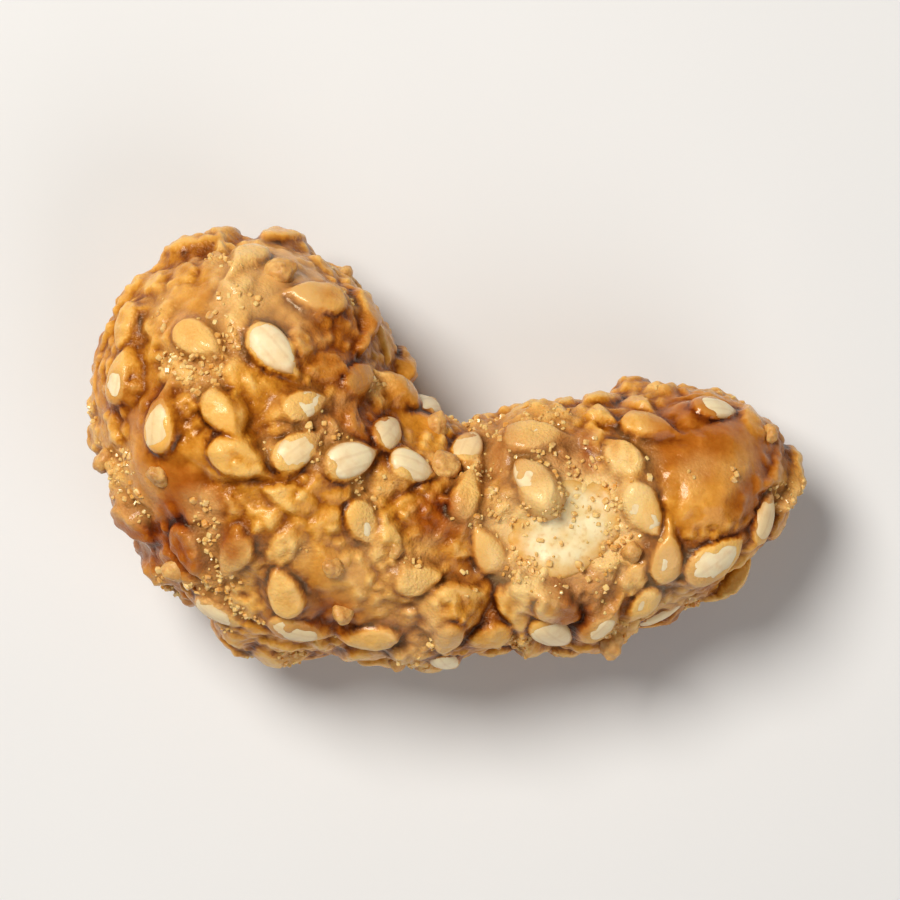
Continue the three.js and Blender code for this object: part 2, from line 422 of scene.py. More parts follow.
def copiesOf(shape, name, turned, middles, scales):  # one mesh with a copy of the shape at each place
    corners = meshPoints(shape)
    sides = np.array([tuple(face.vertices) for face in shape.polygons])
    placed = np.einsum("nij,nvj->nvi", turned, corners[None] * scales[:, None, :]) + middles[:, None, :]
    joined = sides[None] + (np.arange(len(middles)) * len(corners))[:, None, None]
    mesh = bpy.data.meshes.new(name)
    mesh.from_pydata(placed.reshape(-1, 3), [], joined.reshape(-1, sides.shape[1]).tolist())
    mesh.update()
    return mesh


def treeOf(points):  # for finding the points nearest to a place
    tree = kdtree.KDTree(len(points))
    for i, place in enumerate(points.tolist()):
        tree.insert(place, i)
    tree.balance()
    return tree


def scatter(points, gap, firstRoll):  # indices of points that lie at least a gap apart, in random order
    order = list(range(len(points)))
    random.Random(firstRoll).shuffle(order)
    cells = {}
    kept = []
    for i in order:
        p = points[i]
        cell = tuple(int(math.floor(v / gap)) for v in p)
        near = (cells.get((cell[0] + a, cell[1] + b, cell[2] + c), ())
                for a in (-1, 0, 1) for b in (-1, 0, 1) for c in (-1, 0, 1))
        if any(math.dist(p, q) < gap for group in near for q in group):
            continue
        cells.setdefault(cell, []).append(p)
        kept.append(i)
    return kept


# The sugar crust

crustForm = {
    "firstVoxel": 0.125,
    "lastVoxel": 0.105,
    "triangles": 196000,  # at most, after the last thinning
    "granule": {
        "gap": 0.52,
        "half": (0.28, 0.46),
        "stretch": (1.0, 1.6),
        "rise": (0.05, 0.28),
        "blend": 0.02,
    },
    "lower": 0.16,  # the granules stand on a skin this much lower than the law
    "fine": 0.12,  # height of the small unevenness
    "finest": 0.05,
    "glassy": 0.1,  # how much thicker the caramel is where it set glassy
    "waves": 0.09,  # and how high its waves are there
    "smoother": 0.85,  # how much of the roughness glassy caramel loses
    "seedBlend": 0.07,  # how softly caramel climbs a seed that shows
    "glazedBlend": 0.13,  # and one that it covers
    "rimFilm": 0.16,  # how much thicker the caramel is at a seed's rim than on its face
    "filmUneven": 0.09,
    "hiding": 2.2,  # how much deeper in colour than it is thick a film over a seed looks
    "deepest": 0.3,
    "moat": 0.1,  # dip of the caramel round a seed
    "moatWidth": 0.18,
    "moatAt": 1.05,  # where it is deepest, in half-widths of the seed
    "faceTo": 1.06,  # and how far the seed's face is taken to reach
    "grainFrom": (0.85, 1.1),  # the crust's grain stops between these on a seed
    "fullGrain": 0.2,  # a film as thick as this has all the grain that a film can have
    "clearTo": 1.4,  # the bare patch keeps this far from a seed
    "sideSlope": 1.5,  # how steeply the skin falls off a seed's edge
    "grooves": ((36, 0.3), (8, 0.12)),  # rounds of smoothing, and how far below that is a full groove
    "ragged": 0.35,  # how far the edges of spots and of the bare patch stray
    "spotEdge": (0.55, 1.25),  # a spot fades out between these shares of its half-width
    "spotSide": (-0.1, 0.25),  # and down the sides, by how much the crust faces up
    "footBlend": 0.05,
}

crustNoise = {  # size, place in the noise, octaves
    "coarse": (3.2, 4.0, 2),
    "fine": (0.8, 9.0, 3),
    "finest": (0.36, 61.0, 2),
    "ragged": (1.4, 17.0, 3),
    "toastAndShadow": (4.5, 31.0, 2),
    "waves": (1.5, 83.0, 2),
    "film": (0.9, 50.0, 3),
    "patch": (0.6, 44.0, 2),
}

crustSpots = {  # places on the upper side that look unlike the rest: x, y, half-width, strength
    "glassy": (
        (13.0, -0.4, 3.4, 0.8), (-8.6, 8.2, 2.6, 0.6), (-14.0, -0.8, 2.6, 0.8), (-12.6, 6.6, 1.8, 0.7),
        (11.0, -3.6, 1.6, 0.7), (2.4, -4.9, 1.3, 0.8), (-6.2, -6.8, 2.0, 0.6),
    ),
    # toast spots; the one at (2.4, 0.2) is painted shadow of the neighbouring nut over the hollow's edge,
    # and the one at (-11.8, -7.8) is painted shade round a seed
    "toastAndShadow": (
        (-13.6, -3.9, 3.6, 1.0), (-0.4, -3.3, 1.5, 1.0), (-5.6, 5.0, 2.0, 0.75), (-4.8, 1.2, 2.4, 0.8),
        (6.8, -7.2, 2.0, 1.0), (15.4, -2.4, 1.8, 0.8), (2.4, 0.2, 1.6, 0.9), (6.3, -0.2, 1.4, 1.0),
        (12.4, 0.8, 2.8, 0.75), (-15.6, 2.4, 1.6, 0.5), (-11.8, -7.8, 1.6, 0.7), (4.6, -0.9, 1.5, 0.6),
    ),
    "sugary": (
        (-13.8, 6.9, 1.6, 0.6), (4.2, 0.4, 2.2, 0.7), (7.4, -6.4, 1.8, 0.5), (-7.2, 1.8, 1.6, 0.5),
        (-1.4, -6.4, 1.7, 0.4), (9.2, -0.4, 1.4, 0.6),
    ),
    # pale spots: those at (-8.6, -6.2), (10.8, -6.4), (-2.0, -9.2) and (-4.2, -6.2) are painted light on
    # the lower side, which the key light leaves in shade, and the one at (2.4, -4.9) is a painted
    # highlight
    "pale": (
        (-9.0, 8.0, 3.0, 0.55), (2.4, -4.9, 1.4, 0.45), (-8.6, -6.2, 2.4, 0.3), (10.8, -6.4, 2.2, 0.5),
        (-2.0, -9.2, 2.4, 0.4), (-4.2, -6.2, 2.4, 0.35),
    ),
}

spreadTones = {  # how strong each is elsewhere, and between which values of its noise it comes in
    "glassy": (0.6, 0.2, 0.6),
    "toastAndShadow": (0.8, 0.1, 0.6),
    "sugary": (0.8, 0.15, 0.5),
}


def spotMask(points, outward, spots, ragged):
    mask = np.zeros(len(points))
    for x, y, reach, strength in spots:
        distance = np.hypot(points[:, 0] - x, points[:, 1] - y) / reach + ragged
        mask = np.maximum(mask, strength * (1 - smoothStep(distance, *crustForm["spotEdge"])))
    return mask * smoothStep(outward[:, 2], *crustForm["spotSide"])


def spreadTone(name, noiseValues):
    strength, low, high = spreadTones[name]
    return strength * smoothStep(noiseValues, low, high)


def seedSlim(along):  # a seed's width along it, from the blunt end at -1 to the tip at 1
    tip = np.maximum(along - seedForm["pointFrom"], 0)
    return 1 - seedForm["taper"] * along - seedForm["point"] * tip ** 2


def seedTop(seed, u, v):  # height of a seed's face over its middle plane, falling away beyond its edge
    length, width, thickness = (side * seed["size"] for side in seedForm["size"])
    slim = seedSlim(np.clip(2 * u / length, -1.2, 1.2))
    ring = np.sqrt((2 * u / length) ** 2 + (2 * v / (width * slim)) ** 2)
    face = thickness * slim / 2 * np.clip(1 - ring ** 2, 0, 1) ** (0.5 * seedForm["flatness"])
    return np.where(ring < 1, face, (1 - ring) * crustForm["sideSlope"] * width / 2), ring


def applyModifiers(piece):
    even = bpy.data.meshes.new_from_object(piece.evaluated_get(bpy.context.evaluated_depsgraph_get()))
    piece.modifiers.clear()
    old = piece.data
    piece.data = even
    bpy.data.meshes.remove(old)


def evenOut(piece, voxel):  # the surface made anew in even faces
    remesh = piece.modifiers.new("even", "REMESH")
    remesh.mode = "VOXEL"
    remesh.voxel_size = voxel
    applyModifiers(piece)


def thinOut(piece, allowed):  # fewer triangles where the surface is flat
    piece.modifiers.new("triangles", "TRIANGULATE")
    applyModifiers(piece)
    piece.modifiers.new("fewer", "DECIMATE").ratio = min(1, allowed / len(piece.data.polygons))
    applyModifiers(piece)


def bodyMesh():
    bm = bmesh.new()
    bmesh.ops.create_icosphere(bm, subdivisions=6, radius=1)
    places = settle(insideFor([tuple(v.co) for v in bm.verts]))
    for vert, place in zip(bm.verts, places):
        vert.co = place
    piece = addObject("caramel_crust", meshFrom(bm, "caramel_crust"))
    evenOut(piece, crustForm["firstVoxel"])
    return piece


def swellings(points, outward, form, firstRoll, leftOut):  # stretched bumps packed side by side
    dice = random.Random(firstRoll)
    spots = [i for i in scatter(points, form["gap"], firstRoll) if dice.random() > leftOut[i]]
    half = np.array([dice.uniform(*form["half"]) for _ in spots])
    stretch = np.array([dice.uniform(*form["stretch"]) for _ in spots])
    rise = np.array([dice.uniform(*form["rise"]) for _ in spots])
    lean = np.array([[dice.gauss(0, 1) for _ in range(3)] for _ in spots])
    lean -= outward[spots] * (lean * outward[spots]).sum(axis=1, keepdims=True)
    lean /= np.linalg.norm(lean, axis=1, keepdims=True)
    tree = treeOf(points[spots])
    nearest = np.array([[hit[1] for hit in tree.find_n(p, 5)] for p in points.tolist()])
    offset = points[:, None, :] - points[spots][nearest]
    lengthwise = (offset * lean[nearest]).sum(axis=2)
    ring = (offset ** 2).sum(axis=2) - lengthwise ** 2 * (1 - 1 / stretch[nearest] ** 2)
    lifts = rise[nearest] * (1 - ring / half[nearest] ** 2)
    return form["blend"] * np.log(1 + np.exp(lifts / form["blend"]).sum(axis=1))


def smoothed(values, edges, rounds):
    degree = np.bincount(edges.ravel(), minlength=len(values))
    for _ in range(rounds):
        reached = np.bincount(edges[:, 0], values[edges[:, 1]], len(values))
        reached += np.bincount(edges[:, 1], values[edges[:, 0]], len(values))
        values = reached / degree
    return values


def layOverSeeds(points, height, filmNoise, glassy):  # the caramel over and between the seeds
    noSeed = -5.0
    farOff = 9.0
    wholeSeed = 3.0  # no point of a seed, or of the caramel on it, is further from its middle
    around = {  # for each point of the crust
        "seedFaces": np.full(len(points), noSeed),  # how high the seeds' faces lie
        "edgeGap": np.full(len(points), farOff),  # how far the nearest seed's edge is
        "covered": np.ones(len(points)),  # how far the crust's grain goes over what lies there
        "clear": np.ones(len(points)),  # 0 on a seed that shows
    }
    groups = ((glazedSeeds(points, glassy), crustForm["glazedBlend"]), (seeds, crustForm["seedBlend"]))
    for group, blend in groups:
        total = np.exp(height / blend)
        for seed in group:
            local = (points - seed["middle"]) @ seed["turned"]
            near = np.nonzero((local ** 2).sum(axis=1) < wholeSeed ** 2)[0]
            u, v, w = local[near].T
            top, ring = seedTop(seed, u, v)
            face = top - w
            hidden = float(np.clip(crustForm["hiding"] * seed["film"], 0, crustForm["deepest"]))
            shownFace = np.where(ring < crustForm["faceTo"], face - hidden, noSeed)
            around["seedFaces"][near] = np.maximum(around["seedFaces"][near], shownFace)
            lift = face + seed["film"] + filmNoise[near] + crustForm["rimFilm"] * np.clip(ring, 0, 1) ** 4
            total[near] += np.exp(np.clip(lift, -2, 2) / blend)
            if group is seeds:
                gap = np.abs(ring - crustForm["moatAt"]) * 0.9 * seed["size"]
                around["edgeGap"][near] = np.minimum(around["edgeGap"][near], gap)
                grained = float(np.clip(seed["film"] / crustForm["fullGrain"], 0, 0.8))
                onSeed = 1 - smoothStep(ring, *crustForm["grainFrom"])
                around["covered"][near] *= 1 - (1 - grained) * onSeed
                around["clear"][near] *= smoothStep(ring, crustForm["moatAt"], crustForm["clearTo"])
        height = blend * np.log(total)
    return height, around


def barePatch(points, outward, ragged, unevenness):  # under 1 on the bare nut, more away from it
    outside = 9
    turned, middle = bareNutFrame()
    u, v, w = ((points - middle) @ turned).T
    patch = np.hypot(u / bareNut["halfLength"], v / bareNut["halfWidth"]) + bareNut["ragged"] * ragged
    patch += bareNut["uneven"] * unevenness
    return np.where(outward[:, 2] > bareNut["faceUp"], patch, outside)


def caramelCrust(material):
    piece = bodyMesh()
    points = settle(meshPoints(piece.data), 4)
    outward = feelCrust(points)[1]
    noises = {name: noiseAt(points, *row) for name, row in crustNoise.items()}
    ragged = crustForm["ragged"] * noises["ragged"]
    spots = {name: spotMask(points, outward, rows, ragged) for name, rows in crustSpots.items()}
    glassy = np.maximum(spots["glassy"], spreadTone("glassy", noises["coarse"]))
    sugary = np.maximum(spots["sugary"], spreadTone("sugary", -noises["coarse"]))
    rough = 1 - crustForm["smoother"] * glassy

    # the caramel, its granules, and how it lies over and between the seeds
    granules = swellings(points, outward, crustForm["granule"], firstRolls["granules"], 0.9 * glassy)
    height = crustForm["fine"] * noises["fine"] * rough + crustForm["glassy"] * glassy
    height = height + crustForm["waves"] * (noises["waves"] * glassy) - crustForm["lower"]
    height, around = layOverSeeds(points, height, crustForm["filmUneven"] * noises["film"], glassy)
    # a ring round each seed that shows: it digs the moat, and the material paints it darker, partly as
    # painted shade
    edgeShade = np.exp(-(around["edgeGap"] / crustForm["moatWidth"]) ** 2)
    height = height - crustForm["moat"] * edgeShade
    height += (granules + crustForm["finest"] * noises["finest"]) * rough * around["covered"]

    # the crust thins out to nothing over the bare nut
    patch = barePatch(points, outward, ragged, noises["patch"])
    opened = (1 - smoothStep(patch, *bareNut["opening"])) * around["clear"]
    height = height * (1 - opened) - (bareNut["depth"] + bareNut["under"]) * opened
    overNut = height + bareNut["depth"]
    aroundNut = 1 - smoothStep(patch, *bareNut["paleRound"])

    # what the material needs to know: how deep the caramel is, and how it looks from place to place
    # paler round the bare nut, and in the pale spots, some of which are painted light and one a painted
    # highlight
    pale = np.maximum(aroundNut, spots["pale"]) * (1 - 0.8 * spots["toastAndShadow"])
    # real toasting, with painted shadow in some of the toast spots
    toastAndShadow = np.maximum(spots["toastAndShadow"], spreadTone("toastAndShadow", noises["toastAndShadow"]) * (1 - 0.7 * pale))
    film = np.minimum(height - around["seedFaces"], overNut + smoothStep(patch, *bareNut["filmRound"]))
    edges = meshEdges(piece.data)
    # how far each point lies down in a groove; the material paints grooves darker with it, partly as
    # painted shade
    groove = sum((smoothed(height, edges, rounds) - height) / deep
                 for rounds, deep in crustForm["grooves"])
    values = {"film": np.clip(film, 0, 1), "groove": np.clip(groove, -1, 1), "glassy": glassy,
              "toastAndShadow": toastAndShadow, "sugary": sugary, "edgeShade": edgeShade, "pale": pale}

    # the raised surface in even faces, with the values of the nearest point before
    raised = points + outward * height[:, None]
    putPoints(piece.data, raised)
    evenOut(piece, crustForm["lastVoxel"])
    thinOut(piece, crustForm["triangles"])
    tree = treeOf(raised)
    points = meshPoints(piece.data)
    nearest = np.array([tree.find(place)[1] for place in points.tolist()])
    soft = crustForm["footBlend"]
    points[:, 2] = soft * np.logaddexp(0, points[:, 2] / soft)
    putPoints(piece.data, points)
    edges = meshEdges(piece.data)
    for name, value in values.items():
        putValues(piece.data, name, smoothed(value[nearest], edges, 1))
    finishPiece(piece, material)
    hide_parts(nutNode)
    print("crust:", len(piece.data.polygons), "faces")

    # where grains of sugar may lie: on the crust, or on the nut where the crust is under it
    outward = outward[nearest]
    points = points + outward * np.clip(-overNut, 0, 1)[nearest][:, None]
    tones = {"sugary": sugary, "glassy": glassy, "aroundNut": aroundNut, "covered": around["covered"]}
    return points, outward, {name: value[nearest] for name, value in tones.items()}


# The seeds

def sesameSeeds(material):
    bm = bmesh.new()
    bmesh.ops.create_icosphere(bm, subdivisions=4, radius=1)
    for vert in bm.verts:
        x, y, z = vert.co
        slim = float(seedSlim(x))
        vert.co = (x / 2, y * slim / 2, math.copysign(abs(z) ** seedForm["flatness"], z) * slim / 2)
    shape = meshFrom(bm, "seedShape")
    turned = np.array([seed["turned"] for seed in seeds])
    middles = np.array([seed["middle"] for seed in seeds])
    scales = np.array([[side * seed["size"] for side in seedForm["size"]] for seed in seeds])
    mesh = copiesOf(shape, "sesame_seeds", turned, middles, scales)
    perSeed = len(shape.vertices)
    corners = meshPoints(shape)
    dice = random.Random(firstRolls["tones"])
    putValues(mesh, "along", np.tile(corners[:, 0] + 0.5, len(seeds)))
    putValues(mesh, "across", np.tile(corners[:, 1] * 2, len(seeds)))
    putValues(mesh, "tone", np.repeat([dice.random() for _ in seeds], perSeed))
    putValues(mesh, "proud", np.tile(corners[:, 2] * 2, len(seeds)))
    points = meshPoints(mesh)
    outward = np.repeat(turned[:, :, 2], perSeed, axis=0)
    putPoints(mesh, points + outward * (seedForm["uneven"] * noiseAt(points, 0.5, 70.0))[:, None])
    bpy.data.meshes.remove(shape)
    piece = addObject("sesame_seeds", mesh)
    finishPiece(piece, material)
    print("seeds:", len(mesh.polygons), "faces")


# The bare nut

def bareKernel(material):
    turned, middle = bareNutFrame()
    bm = bmesh.new()
    bmesh.ops.create_icosphere(bm, subdivisions=5, radius=1)
    unit = np.array([tuple(v.co) for v in bm.verts])
    flat = unit[:, :2] * (bareNut["halfLength"], bareNut["halfWidth"])
    points = settle(middle + flat @ turned[:, :2].T)
    outward = feelCrust(points)[1]
    depth = bareNut["depth"] + bareNut["sunk"] * (1 - unit[:, 2]) ** 2
    points -= outward * depth[:, None]
    dents = bareNut["dents"] * noiseAt(points, 1.3, 3.0, 4)
    pores = bareNut["pores"] * noiseAt(points, 0.4, 23.0)
    points += outward * (dents + pores)[:, None]
    for vert, place in zip(bm.verts, points):
        vert.co = place
    piece = addObject("bare_nut", meshFrom(bm, "bare_nut"))
    putValues(piece.data, "rim", smoothStep(np.hypot(unit[:, 0], unit[:, 1]), 0.5, 0.95))
    finishPiece(piece, material)
    print("bare nut:", len(piece.data.polygons), "faces")


# Crumbs and grains of sugar

def sugarCrumbs(material):
    bm = bmesh.new()
    bmesh.ops.create_icosphere(bm, subdivisions=4, radius=1)
    shape = meshFrom(bm, "crumbShape")
    turned = np.array([crumb["turned"] for crumb in crumbs])
    middles = np.array([crumb["middle"] for crumb in crumbs])
    scales = np.array([[side * crumb["halfWidth"] for side in crumbForm["shape"]] for crumb in crumbs])
    mesh = copiesOf(shape, "sugar_crumbs", turned, middles, scales)
    points = meshPoints(mesh)
    away = points - np.repeat(middles, len(shape.vertices), axis=0)
    away /= np.linalg.norm(away, axis=1, keepdims=True)
    cells = np.array([noise.voronoi(p)[0][0] for p in (points / crumbForm["granuleSize"]).tolist()])
    lump = crumbForm["uneven"] * noiseAt(points, 0.7, 12.0, 3) + crumbForm["granules"] * (0.5 - cells)
    putPoints(mesh, points + away * lump[:, None])
    bpy.data.meshes.remove(shape)
    piece = addObject("sugar_crumbs", mesh)
    finishPiece(piece, material)
    print("crumbs:", len(mesh.polygons), "faces")


grainForm = {  # loose grains of set sugar
    "onSugary": 1.6,  # how thickly they lie where the crust is sugary
    "offGlassy": 0.5,  # and how much less so where it is glassy
    "fewer": 0.7,
    "roundNut": 0.25,
    "gap": 0.22,
    "size": (0.1, 0.3),
    "sides": (0.5, 1.4),  # of its size
    "bevel": 0.17,
    "deepest": -0.1,  # how far its middle lies under the crust, as a share of its size
    "tallest": 0.65,  # and how far its top stands off it at most
}


def sugarGrains(material, points, outward, tones):
    thickly = grainForm["onSugary"] * tones["sugary"] - grainForm["fewer"]
    thickly = thickly - grainForm["offGlassy"] * tones["glassy"]
    grainy = np.maximum(thickly, grainForm["roundNut"] * tones["aroundNut"]) * (tones["covered"] > 0.9)
    dice = random.Random(firstRolls["grains"])
    kept = [i for i in scatter(points, grainForm["gap"], firstRolls["grainSpots"])
            if dice.random() < grainy[i] and points[i][2] > clearOfFoot / 2]
    bm = bmesh.new()
    bmesh.ops.create_cube(bm, size=1)
    bmesh.ops.bevel(bm, geom=bm.edges[:], offset=grainForm["bevel"], affect="EDGES", segments=1,
                    profile=0.5, material=-1)
    bmesh.ops.triangulate(bm, faces=bm.faces[:])
    shape = meshFrom(bm, "grainShape")
    turned, middles, scales = [], [], []
    for i in kept:
        spin = Matrix.Rotation(dice.uniform(0, math.tau), 3, Vector([dice.gauss(0, 1) for _ in range(3)]))
        size = dice.uniform(*grainForm["size"])
        rise = dice.uniform(grainForm["deepest"], grainForm["tallest"] - 0.5)
        turned.append(np.array(spin))
        middles.append(points[i] + outward[i] * size * rise)
        scales.append([size * dice.uniform(*grainForm["sides"]) for _ in range(3)])
    mesh = copiesOf(shape, "sugar_grains", np.array(turned), np.array(middles), np.array(scales))
    bpy.data.meshes.remove(shape)
    piece = addObject("sugar_grains", mesh)
    finishPiece(piece, material)
    piece.data.shade_flat()
    print("grains:", len(kept), "of", len(mesh.polygons), "faces")


# What the materials are made with

def tint(red, green, blue):  # a colour as a picture has it, 0 to 255, made linear
    def linear(part):
        return ((part / 255 + 0.055) / 1.055) ** 2.4 if part > 10 else part / 3295
    return linear(red), linear(green), linear(blue), 1.0


def feed(tree, socket, value):  # another node's output goes into the socket, or a fixed value
    if isinstance(value, bpy.types.NodeSocket):
        tree.links.new(value, socket)
    else:
        socket.default_value = value


def addNode(tree, kind, inputs=None, **settings):
    node = tree.nodes.new(kind)
    for key, value in settings.items():
        setattr(node, key, value)
    for key, value in (inputs or {}).items():
        feed(tree, node.inputs[key], value)
    return node


def maths(tree, operation, a, b=0.5, clamp=False):
    return addNode(tree, "ShaderNodeMath", {0: a, 1: b}, operation=operation, use_clamp=clamp).outputs[0]


def mixColour(tree, amount, a, b, blend="MIX"):
    mix = addNode(tree, "ShaderNodeMix", data_type="RGBA", blend_type=blend, clamp_factor=True)
    for socket, value in ((mix.inputs[0], amount), (mix.inputs[6], a), (mix.inputs[7], b)):
        feed(tree, socket, value)
    return mix.outputs[2]


def ramp(tree, value, stops):
    node = addNode(tree, "ShaderNodeValToRGB", {0: value})
    elements = node.color_ramp.elements
    while len(elements) < len(stops):
        elements.new(0.5)
    for element, (position, colour) in zip(elements, stops):
        element.position = position
        element.color = colour
    return node.outputs[0]


def spread(tree, value, low, high, toLow=0.0, toHigh=1.0):
    inputs = {0: value, 1: low, 2: high, 3: toLow, 4: toHigh}
    return addNode(tree, "ShaderNodeMapRange", inputs).outputs[0]


def attribute(tree, name):
    return addNode(tree, "ShaderNodeAttribute", attribute_name=name).outputs["Fac"]


def objectPlace(tree):
    return addNode(tree, "ShaderNodeTexCoord").outputs["Object"]


def noiseNode(tree, place, size, detail=3.0):  # size in millimetres
    inputs = {"Vector": place, "Scale": 1 / (size * mm), "Detail": detail, "Roughness": 0.55}
    return addNode(tree, "ShaderNodeTexNoise", inputs).outputs[0]


def aroundZero(tree, place, size, detail=3.0):  # the same noise, less its mean
    return maths(tree, "SUBTRACT", noiseNode(tree, place, size, detail), 0.5)


def dress(tree, surface, look, colour, roughness, height=None):  # what every material of the nut has
    feed(tree, surface.inputs["Base Color"], colour)
    feed(tree, surface.inputs["Roughness"], roughness)
    weight, radius, scale = look["lightIn"]
    surface.inputs["Subsurface Weight"].default_value = weight
    surface.inputs["Subsurface Radius"].default_value = radius
    surface.inputs["Subsurface Scale"].default_value = scale * mm
    if height is not None:
        strength, distance = look["bump"]
        inputs = {"Height": height, "Strength": strength, "Distance": distance * mm}
        tree.links.new(addNode(tree, "ShaderNodeBump", inputs).outputs[0], surface.inputs["Normal"])


def newMaterial(name):
    material = bpy.data.materials.new(name)
    material.use_nodes = True
    return material, material.node_tree, material.node_tree.nodes["Principled BSDF"]


def newGroup(name, inputs, outputs):
    group = bpy.data.node_groups.new(name, "ShaderNodeTree")
    for label, value in inputs:
        socket = group.interface.new_socket(label, in_out="INPUT", socket_type="NodeSocketFloat")
        socket.default_value = value
    for label, kind in outputs:
        group.interface.new_socket(label, in_out="OUTPUT", socket_type=kind)
    return group, group.nodes.new("NodeGroupInput"), group.nodes.new("NodeGroupOutput")


def useGroup(tree, group, inputs):
    return addNode(tree, "ShaderNodeGroup", inputs, node_tree=group)


# Effects that more than one material uses

caramelLook = {
    "byDepth": (  # from a thin film over something pale to a thick pool; its darker end also gives painted shade in grooves and round seeds
        (0.0, tint(238, 192, 110)),
        (0.22, tint(226, 166, 72)),
        (0.48, tint(200, 134, 40)),
        (0.75, tint(150, 82, 12)),
        (1.0, tint(72, 28, 2)),
    ),
    "broadSize": 2.6,
    "broad": 0.35,
    "speckleSize": 0.35,
    "speckle": 0.45,
    "toastAndShadow": tint(195, 148, 98),  # what toasting, with the painted shadow laid in among the toast spots, multiplies the colour by
    "thinSugar": tint(240, 204, 138),
    "deepSugar": tint(196, 134, 56),
    "sugarShare": 0.6,
    "crystal": 0.22,  # size of the crystals in set sugar
    "fineCrystal": 0.12,
    "crystalDepth": -0.6,
}


def caramelTone():  # colour of caramel from its depth, its toasting with painted shadow at some spots, and how much it has set as sugar; the crust's depth carries painted shade too
    group, taken, given = newGroup("caramelTone", (("Depth", 0.5), ("ToastAndShadow", 0.0), ("Sugary", 0.0)),
                                   (("Color", "NodeSocketColor"),))
    place = objectPlace(group)
    broad = aroundZero(group, place, caramelLook["broadSize"], 2.0)
    speckle = aroundZero(group, place, caramelLook["speckleSize"])
    depth = maths(group, "MULTIPLY", broad, caramelLook["broad"])
    depth = maths(group, "ADD", taken.outputs["Depth"], depth)
    speckle = maths(group, "MULTIPLY", speckle, caramelLook["speckle"])
    depth = maths(group, "ADD", depth, speckle, clamp=True)
    colour = ramp(group, depth, caramelLook["byDepth"])
    colour = mixColour(group, taken.outputs["ToastAndShadow"], colour, caramelLook["toastAndShadow"], "MULTIPLY")
    sugar = mixColour(group, depth, caramelLook["thinSugar"], caramelLook["deepSugar"])
    sugarShare = maths(group, "MULTIPLY", taken.outputs["Sugary"], caramelLook["sugarShare"])
    colour = mixColour(group, sugarShare, colour, sugar)
    group.links.new(colour, given.inputs["Color"])
    return group


def sugarGrain():  # fine crystals in set sugar
    group, taken, given = newGroup("sugarGrain", (("Amount", 1.0),), (("Height", "NodeSocketFloat"),))
    place = objectPlace(group)
    inputs = {"Vector": place, "Scale": 1 / (caramelLook["crystal"] * mm)}
    cells = addNode(group, "ShaderNodeTexVoronoi", inputs).outputs["Distance"]
    grain = noiseNode(group, place, caramelLook["fineCrystal"], 2.0)
    grain = maths(group, "ADD", grain, maths(group, "MULTIPLY", cells, caramelLook["crystalDepth"]))
    group.links.new(maths(group, "MULTIPLY", grain, taken.outputs["Amount"]), given.inputs["Height"])
    return group


# The materials

crustLook = {
    "deepFilm": 0.4,  # millimetres of caramel over a seed or the nut, past which it looks no deeper
    "filmDepths": (0.02, 0.38),
    "groove": 0.45,  # how much darker it looks in grooves and lighter on crests, partly thicker and thinner caramel and partly painted shade
    "edgeShade": 0.34,  # and round a seed, partly painted shade and partly browner caramel at its edge
    "glassy": -0.05,
    "pale": tint(242, 216, 158),
    "paleByDepth": (0.1, 0.8, 0.8, 0.25),  # from and to which depth, and its share at each
    "roughness": (0.16, 0.44),  # from glassy to sugary
    "crystals": (0.1, 1.0),
    "coat": (0.3, 0.8),  # from dull to glassy
    "coatInGrooves": (0.0, 0.8, 1.0, 0.3),
    "coatRoughness": 0.1,
    "coatIor": 1.36,
    "coatTint": tint(255, 236, 205),
    "gloss": 0.3,
    "glossTint": tint(255, 232, 196),
    "bump": (0.8, 0.1),  # strength, and height in millimetres
    "lightIn": (0.22, (1.0, 0.45, 0.15), 0.25),  # weight, how far each colour goes, scale
}


def crustMaterial(tone, grain):
    material, tree, surface = newMaterial("caramel_crust")
    film, groove, shade = (attribute(tree, name) for name in ("film", "groove", "edgeShade"))
    glassy, toastAndShadow, sugary = (attribute(tree, name) for name in ("glassy", "toastAndShadow", "sugary"))
    depth = spread(tree, film, 0.0, crustLook["deepFilm"], *crustLook["filmDepths"])
    # the depth that picks the colour also carries painted shade: darker in grooves and round the seeds
    # that show
    for mask, name in ((groove, "groove"), (shade, "edgeShade"), (glassy, "glassy")):
        depth = maths(tree, "ADD", depth, maths(tree, "MULTIPLY", mask, crustLook[name]))
    colour = useGroup(tree, tone, {"Depth": depth, "ToastAndShadow": toastAndShadow, "Sugary": sugary}).outputs["Color"]
    # paler round the bare nut and in the pale spots, partly painted light and a painted highlight
    pale = spread(tree, depth, *crustLook["paleByDepth"])
    pale = maths(tree, "MULTIPLY", attribute(tree, "pale"), pale)
    colour = mixColour(tree, pale, colour, crustLook["pale"])
    crusty = maths(tree, "SUBTRACT", sugary, glassy)
    roughness = spread(tree, crusty, -1.0, 1.0, *crustLook["roughness"])
    amount = spread(tree, crusty, -1.0, 1.0, *crustLook["crystals"])
    height = useGroup(tree, grain, {"Amount": amount}).outputs["Height"]
    dress(tree, surface, crustLook, colour, roughness, height)
    coat = spread(tree, glassy, 0.0, 1.0, *crustLook["coat"])
    # the coat thins in grooves, dimming their reflections as painted shade
    coat = maths(tree, "MULTIPLY", coat, spread(tree, groove, *crustLook["coatInGrooves"]))
    tree.links.new(coat, surface.inputs["Coat Weight"])
    surface.inputs["Coat Roughness"].default_value = crustLook["coatRoughness"]
    surface.inputs["Coat IOR"].default_value = crustLook["coatIor"]
    surface.inputs["Coat Tint"].default_value = crustLook["coatTint"]
    surface.inputs["Specular IOR Level"].default_value = crustLook["gloss"]
    surface.inputs["Specular Tint"].default_value = crustLook["glossTint"]
    return material


